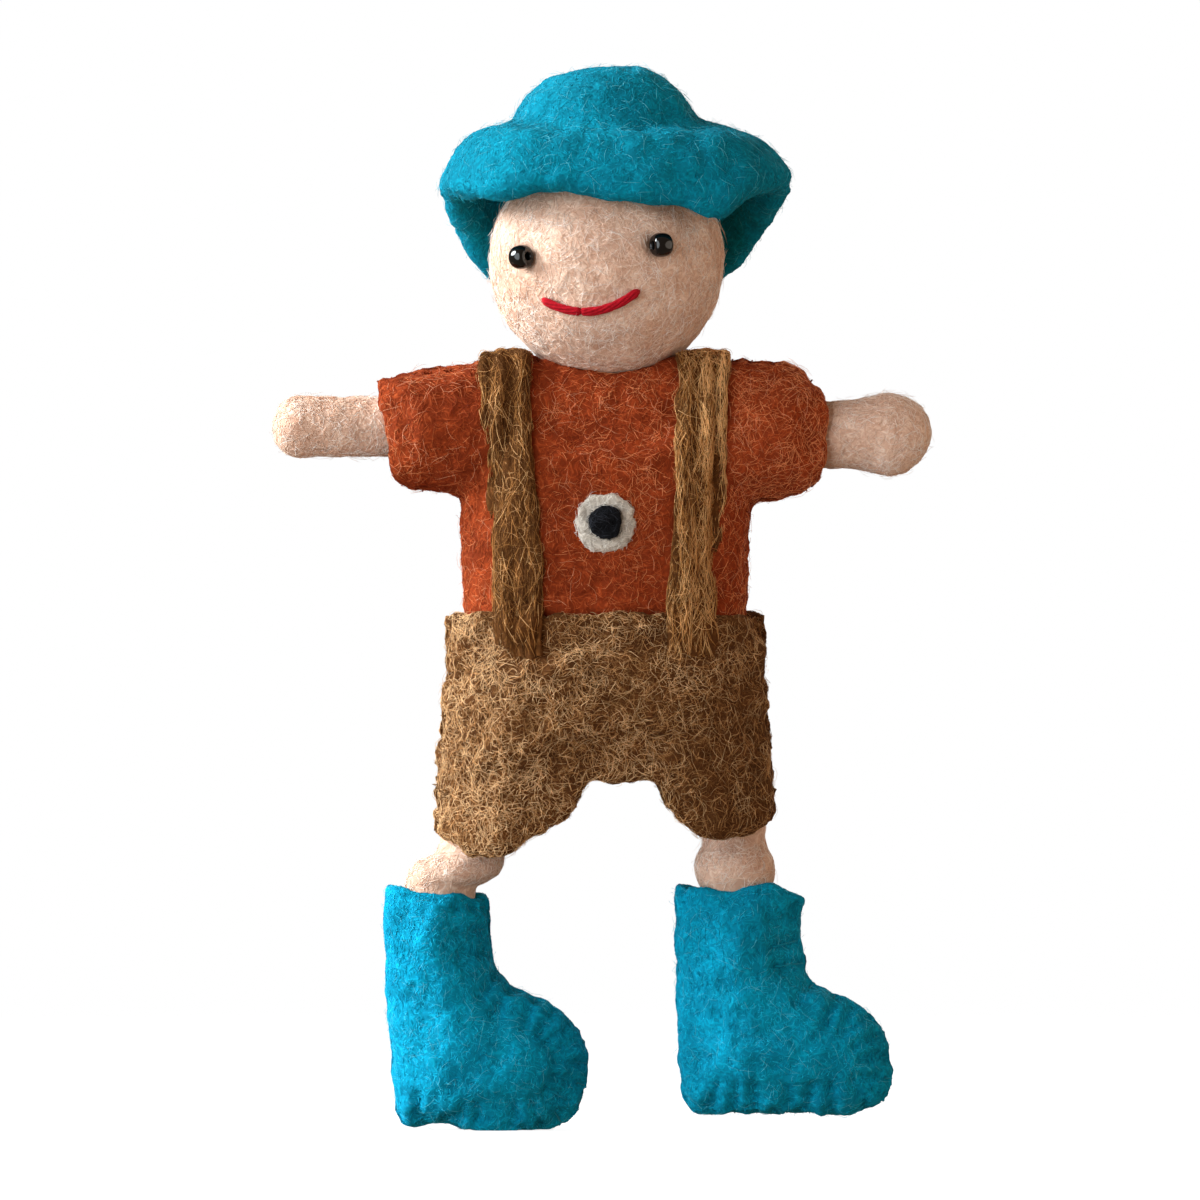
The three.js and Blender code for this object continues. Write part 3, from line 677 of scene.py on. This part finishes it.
def lay_wool(piece, layer, name, materials, shares, seed, air):
    """Fibres that follow a felt piece's open surface, and lie flat beside pieces that move."""
    body, own = piece["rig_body"], set(piece["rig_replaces"])
    nodes = frame["nodes"]
    covers = tree_of(*(nodes[n] for n in nodes if n not in own))
    movers = tree_of(*(nodes[n] for n in nodes if nodes[n]["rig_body"] != body))
    tree = tree_of(piece)
    draw = np.random.RandomState(seed)
    piece.data.calc_loop_triangles()
    corners = np.array([t.vertices for t in piece.data.loop_triangles])
    triangles = points_of(piece)[corners]
    cross = np.cross(triangles[:, 1] - triangles[:, 0], triangles[:, 2] - triangles[:, 0])
    areas = np.linalg.norm(cross, axis=1) / 2
    count = int(layer.density * areas.sum() / MM ** 2)
    chosen = draw.choice(len(areas), count, p=areas / areas.sum())
    weights = draw.dirichlet((1, 1, 1), count)
    roots = (triangles[chosen] * weights[:, :, None]).sum(axis=1)
    normals = unit(cross[chosen])
    seen = in_open_air(tree, roots, normals, air) & in_open_air(covers, roots, normals, COVER_REACH)
    roots, normals = roots[seen], normals[seen]
    count, steps = len(roots), layer.steps
    near = np.array([movers.find_nearest(Vector(p), MOVER_REACH)[0] is not None for p in roots])

    headings = loose = draw.normal(size=(count, 3))
    if layer.combed is not None:
        headings = np.cross(normals, layer.combed) * draw.choice([-1, 1], (count, 1))
        headings += layer.astray * loose
    bends = draw.normal(0, layer.bend, (count, 1)) + draw.normal(0, layer.bend * WIGGLE, (count, steps))
    strides = draw.uniform(*layer.length, count) * MM / (steps - 1)
    paths = np.empty((count, steps, 3))
    ups = np.empty((count, steps, 3))
    for f in range(count):
        here, up, heading = Vector(roots[f]), Vector(normals[f]), Vector(headings[f])
        for k in range(steps):
            paths[f, k], ups[f, k] = here, up
            heading = (heading - up * heading.dot(up)).normalized()
            heading = heading * math.cos(bends[f, k]) + up.cross(heading) * math.sin(bends[f, k])
            here, up = tree.find_nearest(here + heading * strides[f])[:2]

    t = np.linspace(0, 1, steps)
    rise = np.where(near, PRESSED_LIFT, draw.uniform(*layer.lift, count)) * MM
    off = np.where(near, 0, draw.uniform(*layer.stand, count)) * MM
    heights = rise[:, None] * np.sin(np.pi * t) + off[:, None] * t ** STAND_CURVE - ROOT_DEPTH
    paths += ups * heights[:, :, None]
    radii = draw.uniform(*layer.radius, count) * MM
    patches = np.array([noise.fractal(Vector(root / PATCH), *PATCH_DETAIL) for root in roots])
    # More pale wool toward one side of the puppet: painted light and shade
    lots = draw.random_sample(count) + PATCHINESS * patches - layer.painted_side_light * roots[:, 0]
    picks = np.searchsorted(np.cumsum(shares)[:-1], lots)
    return tubes(name, paths, ups, radii, 3, materials, picks)


def loose_wool(piece, felt, seed, nap=NAP, strays=STRAYS, air=OPEN_AIR):
    """A felt piece's nap and its stray fibres."""
    kinds = ((nap, "nap", felt.nap, felt.NAP_SHARES), (strays, "strays", felt.strays, felt.STRAY_SHARES))
    for n, (layer, kind, materials, shares) in enumerate(kinds):
        name = piece.name.replace("felt", kind)
        hair = lay_wool(piece, layer, name, materials, shares, 2 * seed + n, air)
        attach(hair, piece["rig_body"])


# Sewn felt: two panels joined by whip stitches along their edges

def panel(node, voxel=VOXEL, rounds=6):
    """One felt panel, puffed between its seam and its hidden inner side."""
    piece = felt_blank(node, voxel, rounds)
    points, normals = points_of(piece), points_of(piece, "normal")
    hidden = ~in_open_air(tree_of(piece), points, normals)
    puff(piece, hidden | (np.abs(points[:, 1]) < SEAM_HALF_WIDTH))
    soften(piece, 2)
    return piece


def thin_to_seam(piece, edge_depth):
    """A sewn, filled shape is deep in its middle and thins to its seams."""
    points = points_of(piece)
    seam = points[np.abs(points[:, 1]) < SEAM_HALF_WIDTH] * (1, 0, 1)
    tree = KDTree(len(seam))
    for n, place in enumerate(seam):
        tree.insert(place, n)
    tree.balance()
    far = np.array([tree.find(place)[2] for place in points * (1, 0, 1)])
    crown = np.sin(np.pi / 2 * np.clip(far / THINNING_REACH, 0, 1))
    points[:, 1] *= edge_depth + (1 - edge_depth) * crown
    move_points(piece, points)


def press_edges(piece):
    """Felt near the seam's plane is pressed up to it, so that sewn edges meet."""
    points = points_of(piece)
    depth = np.abs(points[:, 1])
    near = depth < EDGE_REACH
    pressed = np.maximum(0, depth - EDGE_PRESS * (1 - depth / EDGE_REACH))
    points[near, 1] = np.sign(points[near, 1]) * pressed[near]
    move_points(piece, points)


def sew(name, front, back, body, felt, thread, spacing, bite, depth, dip, fold=-1.0):
    """Whip stitches over the edge where two panels meet, which pucker the felt from bite to edge.

    A pucker is as deep as depth on the face and as dip at the edge. What is left of fold has no
    stitches: there the panels are one folded piece of felt.
    """
    press_edges(front)
    press_edges(back)
    points, normals = points_of(front), points_of(front, "normal")
    rim = ((np.abs(points[:, 1]) < SEAM_HALF_WIDTH) & (np.abs(normals[:, 1]) < RIM_FLATNESS)
           & (points[:, 0] > fold))
    points, outward = points[rim], unit(normals[rim] * (1, 0, 1))
    free = in_open_air(tree_of(front, back), points, outward)
    points, outward = points[free], outward[free]
    places = walk(points, spacing)
    points, outward = points[places], outward[places]
    holes = {}
    for piece, side in ((front, -1), (back, 1)):
        tree = tree_of(piece)
        bites = points + bite * np.array((0, side, 0)) - outward * bite * BITE_SLANT
        groove = []
        for share in PUCKERS:
            line = points + (bites - points) * share
            groove.append(np.array([tree.find_nearest(Vector(place))[0] for place in line]))
        holes[side] = groove[-1]
        draw_in(piece, np.concatenate(groove), depth, spacing * PUCKER_WIDTH)
        draw_in(piece, points, dip, spacing * PUCKER_WIDTH)
    sunk = outward * (dip + SEWING_THREAD_RADIUS * EDGE_BEDDING)
    halves = []
    for side, hole in holes.items():
        inward = np.array((0, -side, 0)) * depth
        halves.append([hole + inward * END_DEPTH - sunk, hole + inward * BITE_DEPTH,
                       (hole + points) / 2 - sunk + inward * HALF_WAY_DEPTH])
    paths = np.stack([*halves[0], points - sunk, *reversed(halves[1])], axis=1)
    along = np.cross(outward, (0, -1, 0))
    ups = np.repeat(along[:, None], paths.shape[1], axis=1)
    stitches = tubes(name, paths, ups, np.full(len(paths), SEWING_THREAD_RADIUS), 5, [thread])
    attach(stitches, body)


def shirt():
    front, back = panel("shirt_front"), panel("shirt_back")
    for piece in (front, back):
        lean_to_head(piece)
        for pull in CUFF_PULLS:
            tug(piece, *pull)
        lumps(piece, SHIRT_HILLS)
    thread = cotton_thread("rust_sewing_thread", 0x9A3D18, 0x7A2C10)
    sew("shirt_stitches", front, back, "torso", rust, thread, **SHIRT_SEWING)
    for seed, (piece, node) in enumerate(((front, "shirt_front"), (back, "shirt_back")), 10):
        finished(piece, "torso", rust, node)
        loose_wool(piece, rust, seed, SHIRT_NAP)
    return front, back


def shorts():
    front, back = panel("shorts_front"), panel("shorts_back")
    for piece in (front, back):
        thin_to_seam(piece, SHORTS_EDGE_DEPTH)
        for pull in HEM_PULLS:
            tug(piece, *pull)
        lumps(piece, SHORTS_HILLS)
    thread = cotton_thread("brown_sewing_thread", 0x7A522C, 0x5A3C1E)
    sew("shorts_stitches", front, back, "torso", brown, thread, **SHORTS_SEWING)
    for seed, (piece, node) in enumerate(((front, "shorts_front"), (back, "shorts_back")), 20):
        finished(piece, "torso", brown, node)
        loose_wool(piece, brown, seed, CURLY_NAP, CURLY_STRAYS)
    return front, back


def boot(side, seed):
    body = f"boot_{side}"
    ankle = next(j["pos_m"] for j in frame["record"]["behaviour"]["joints"] if j["child"] == body)
    near, far = panel(f"{body}_near_side", FINE_VOXEL, 9), panel(f"{body}_far_side", FINE_VOXEL, 9)
    for piece in (near, far):
        points = points_of(piece)
        high = np.clip((points[:, 2] - ankle[2]) / RIM_HEIGHT + 1, 0, 1) ** 2
        points[:, 2] -= RIM_DIP * high * np.exp(-((points[:, 0] - ankle[0]) / RIM_DIP_WIDTH) ** 2)
        move_points(piece, points)
        for pull in BOOT_PULLS[side]:
            tug(piece, *pull)
        soften_where(piece, high, RIM_SOFTENING)
        thin_to_seam(piece, BOOT_EDGE_DEPTH)
        lumps(piece, BOOT_HILLS)
    thread = cotton_thread(f"teal_sewing_thread_{side}", 0x03A0C2, 0x038AA8)
    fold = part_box(f"{body}_near_side")[0].x + FOLD_WIDTH
    # The boots wear the brightened copy of the teal felt, painted light
    sew(f"{body}_stitches", near, far, body, boot_teal, thread, **BOOT_SEWING, fold=fold)
    for n, (piece, node) in enumerate(((near, f"{body}_near_side"), (far, f"{body}_far_side"))):
        finished(piece, body, boot_teal, node)
        loose_wool(piece, boot_teal, seed + n, BOOT_NAP, FEW_STRAYS)
    wad = felt_blank(f"{body}_stuffing")
    finished(wad, body, undyed, f"{body}_stuffing")


# Felted solids: head, hat, limbs

def felted(node, body, felt, seed, hills=FELTED_HILLS, voxel=FINE_VOXEL, rounds=5, grow=0, pulls=(),
           **wool):
    """A needle-felted lump of wool, with its loose fibres."""
    piece = felt_blank(node, voxel, rounds)
    swell(piece, grow * MM)
    for pull in pulls:
        tug(piece, *pull)
    lumps(piece, hills)
    finished(piece, body, felt, node)
    loose_wool(piece, felt, seed, **wool)
    return piece


def between(table, rows, columns):
    """Values between a table's own, at fractional rows and columns."""
    rows, columns = np.clip(rows, 0, len(table) - 1.001), np.clip(columns, 0, table.shape[1] - 1.001)
    r, c = rows.astype(int), columns.astype(int)
    down, along = rows - r, columns - c
    upper = table[r, c] * (1 - along) + table[r, c + 1] * along
    lower = table[r + 1, c] * (1 - along) + table[r + 1, c + 1] * along
    return upper * (1 - down) + lower * down


def felt_under(levels, slope, start, side, ground):
    """How far out the felt comes under a slanting strip, row by row, with its hollows bridged."""
    table = np.zeros((len(levels), len(BRACE_COLUMNS)))
    for r, level in enumerate(levels):
        for c, place in enumerate(BRACE_COLUMNS):
            eye = Vector((start + slope * level + place, side * PROBE_DISTANCE, level))
            hit = ground.ray_cast(eye, Vector((0, -side, 0)))[0]
            table[r, c] = abs(hit.y) if hit else table[r - 1, c]
    window = len(BRACE_EASING)
    longer = np.pad(table, ((window // 2, window // 2), (0, 0)), mode="edge")
    eased = np.array([(longer[r:r + window] * BRACE_EASING[:, None]).sum(axis=0)
                      for r in range(len(levels))])
    return np.maximum(table, eased / BRACE_EASING.sum())


def needle_down(points, across, slope, start, ground):
    """A strip's front and back laid close on the felt under it, domed, and thin at its lower ends."""
    low, high = points[:, 2].min(), points[:, 2].max()
    levels = np.arange(low - BRACE_STEP, high, BRACE_STEP)
    rows = (points[:, 2] - levels[0]) / BRACE_STEP
    columns = (across - BRACE_COLUMNS[0]) / (BRACE_COLUMNS[1] - BRACE_COLUMNS[0])
    bins = rows.astype(int)
    dome = 1 - BRACE_DOME * np.clip(np.abs(across) / BRACE_HALF_WIDTH, 0, 1) ** 2
    thin = np.clip((points[:, 2] - low) / BRACE_FADE, BRACE_LEAST, 1)
    needled = np.clip((high - points[:, 2]) / BRACE_FADE - BRACE_HOLD, 0, 1)
    for side in (-1, 1):
        own = points[:, 1] * side > 0
        depth = np.abs(points[:, 1])
        inner, outer = np.zeros(len(levels) + 1), np.ones(len(levels) + 1)
        for b in np.unique(bins[own]):
            inner[b], outer[b] = depth[own & (bins == b)].min(), depth[own & (bins == b)].max()
        share = (depth - inner[bins]) / np.maximum(outer[bins] - inner[bins], BRACE_LEAST_DEPTH)
        under = between(felt_under(levels, slope, start, side, ground), rows, columns)
        laid = under - BRACE_BITE + share * (BRACE_BITE + BRACE_THICK * dome * thin)
        points[own, 1] = side * (depth + needled * (laid - depth))[own]
    return points


def braces(ground):
    """Carded wool laid lengthwise in strands and needled down, its lower ends lost in the shorts."""
    for seed, side in enumerate(("left", "right"), 30):
        node = f"brace_{side}"
        piece = felt_blank(node, FINE_VOXEL, rounds=3)
        lean_to_head(piece)
        points = points_of(piece)
        slope, start = np.polyfit(points[:, 2], points[:, 0], 1)
        across = points[:, 0] - start - slope * points[:, 2]
        points = needle_down(points, across, slope, start, ground)
        high = points[:, 2].max()
        top = np.clip(1 - (high - points[:, 2]) / BRACE_FADE, 0, 1) ** 2
        points[:, 2] -= BRACE_SINK * top
        for n, height in enumerate(points[:, 2]):
            wander = Vector((seed, np.sign(across[n]), BRACE_WAVES * height / STRAND_LENGTH))
            points[n, 0] += BRACE_WANDER * noise.noise(wander)
        move_points(piece, points)
        soften(piece, 3)
        stretched = points / (STRAND_WIDTH, STRAND_LENGTH, STRAND_LENGTH)
        relief = np.array([noise.noise(Vector(place)) for place in stretched])
        swell(piece, STRAND_RELIEF * relief * (1 - STRAND_CALM * top))
        lumps(piece, BRACE_HILLS)
        finished(piece, "torso", brace_brown, node)
        loose_wool(piece, brace_brown, seed, ROVING, CURLY_STRAYS)


# The face

def on_face(across, down, above):
    """A point above the head's ball, across and down from the middle of the face."""
    level = HEAD_RADIUS + above
    local = Vector((across, -math.sqrt(level ** 2 - across ** 2 - down ** 2), -down))
    local.rotate(Euler((0, FACE_TILT, FACE_TURN)))
    return HEAD_MIDDLE + local


def smile():
    """Back stitches of loosely plied red thread, each diving into the wool at both ends."""
    paths, ups = [], []
    for start, end in SMILE_STITCHES:
        spine, spread = [], []
        for t in np.linspace(start, end, MOUTH_STEPS):
            across = 2 * t - 1
            inside = (t - start) / (end - start)
            out_of_wool = min(1, MOUTH_DIVE * math.sin(math.pi * inside))
            above = (MOUTH_LIFT * out_of_wool - MOUTH_DEPTH) * MM
            spread.append(MOUTH_GATHER + (1 - MOUTH_GATHER) * out_of_wool)
            spine.append(on_face(
                SMILE_X + SMILE_HALF_WIDTH * across, SMILE_DROP - SMILE_CURVE * across ** 2, above))
        spine = np.array(spine)
        along = unit(np.gradient(spine, axis=0))
        out = unit(spine - np.array(HEAD_MIDDLE))
        across = np.cross(along, out)
        far = np.concatenate([[0], np.linalg.norm(np.diff(spine, axis=0), axis=1).cumsum()])
        for ply in range(MOUTH_PLIES):
            turn = 2 * np.pi * (far / MOUTH_TWIST + ply / MOUTH_PLIES)
            paths.append(spine + MOUTH_SPREAD * (spread * np.cos(turn))[:, None] * across
                         + MOUTH_RISE * np.sin(turn)[:, None] * out)
            ups.append(out)
    radii = np.full(len(paths), MOUTH_PLY_RADIUS)
    thread = cotton_thread("red_cotton_thread", 0xCC1A2A, 0x7C0814)
    piece = tubes("smile_thread", np.array(paths), np.array(ups), radii, 7, [thread])
    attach(piece, "head")
    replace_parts(piece, "smile")


def eyes():
    glass = black_glass()
    for side in ("left", "right"):
        bead = copy_of(f"eye_{side}", f"eye_{side}_bead")
        bpy.ops.object.mode_set(mode="EDIT")
        bpy.ops.mesh.select_all(action="SELECT")
        bpy.ops.mesh.tris_convert_to_quads()
        bpy.ops.object.mode_set(mode="OBJECT")
        apply_modifier(bead, "SUBSURF", levels=2, render_levels=2)
        bead.data.materials.append(glass)
        bead.data.shade_smooth()
        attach(bead, "head")
        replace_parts(bead, f"eye_{side}")


# Stage, light and camera

def stage():
    """A pale floor, lit from within as a light table is, that fades into the white round it."""
    material, tree, shader = new_material(
        "light_table", Base_Color=linear(0x6C6C6C), Roughness=0.9, Emission_Color=(1, 1, 1, 1),
        Emission_Strength=0.9)
    place = add(tree, "ShaderNodeTexCoord").outputs["Object"]
    far = add(tree, "ShaderNodeVectorMath", {0: place}, operation="LENGTH")
    fade = add(tree, "ShaderNodeMapRange", {
        "Value": far.outputs["Value"], "From Min": FLOOR_FADE[0], "From Max": FLOOR_FADE[1],
        "To Min": 1.0, "To Max": 0.0})
    tree.links.new(fade.outputs["Result"], shader.inputs["Alpha"])
    bpy.ops.mesh.primitive_circle_add(
        vertices=96, radius=FLOOR_RADIUS, fill_type="NGON", location=(0, 0, cad_box[0].z))
    floor = bpy.context.object
    floor.name = "floor"
    bpy.ops.object.transform_apply(location=True)
    floor.data.materials.append(material)
    floor.visible_diffuse = floor.visible_glossy = False


def light():
    """A big soft window, three pale walls, and a white room that gives back a little light."""
    world = bpy.data.worlds.new("white_room")
    world.use_nodes = True
    tree = world.node_tree
    seen = tree.nodes["Background"]
    seen.inputs["Color"].default_value = (1, 1, 1, 1)
    seen.inputs["Strength"].default_value = 1.0
    around = add(tree, "ShaderNodeBackground", {"Color": ROOM_COLOUR, "Strength": ROOM_STRENGTH})
    ray = add(tree, "ShaderNodeLightPath")
    both = add(tree, "ShaderNodeMixShader", {
        0: ray.outputs["Is Camera Ray"], 1: around.outputs[0], 2: seen.outputs[0]})
    tree.links.new(both.outputs[0], tree.nodes["World Output"].inputs["Surface"])
    scene.world = world
    for towards, strength, spread, colour in LIGHTS:
        bpy.ops.object.light_add(type="SUN", rotation=towards.to_track_quat("Z", "Y").to_euler())
        lamp = bpy.context.object.data
        lamp.energy = strength
        lamp.angle = math.radians(spread)
        lamp.color = colour
    scene.view_settings.view_transform = "Standard"


def camera():
    bpy.ops.object.camera_add(
        location=VIEW_MIDDLE - Vector((0, VIEW_DISTANCE, 0)), rotation=(math.pi / 2, 0, 0))
    view = bpy.context.object
    view.data.sensor_width = SENSOR_WIDTH
    view.data.lens = SENSOR_WIDTH * VIEW_DISTANCE / VIEW_WIDTH
    scene.camera = view


stage()
light()
camera()
braces(tree_of(*shirt(), *shorts()))
for seed, side in enumerate(("left", "right")):
    boot(side, 40 + 2 * seed)
    felted(f"arm_{side}", f"arm_{side}", skin, 50 + seed, nap=SKIN_NAP)
    felted(f"leg_{side}", f"leg_{side}", skin, 60 + seed, rounds=25, grow=0.35,
                     pulls=LEG_PULLS[side], nap=SKIN_NAP)
felted("head", "head", skin, 70, voxel=VOXEL, nap=SKIN_NAP)
felted("hat", "head", teal, 71, HAT_HILLS, VOXEL, rounds=26, grow=0.5, pulls=HAT_PULLS,
                 nap=SMOOTH_NAP, strays=FEW_STRAYS, air=HAT_AIR)
felted("neck_stub", "neck", skin, 72, nap=NECK_NAP)
felted("button_disc", "torso", white, 73, BUTTON_HILLS, nap=BUTTON_NAP, strays=BUTTON_STRAYS)
felted("button_dot", "torso", black, 74, DOT_HILLS, nap=BUTTON_NAP, strays=BUTTON_STRAYS)
smile()
eyes()
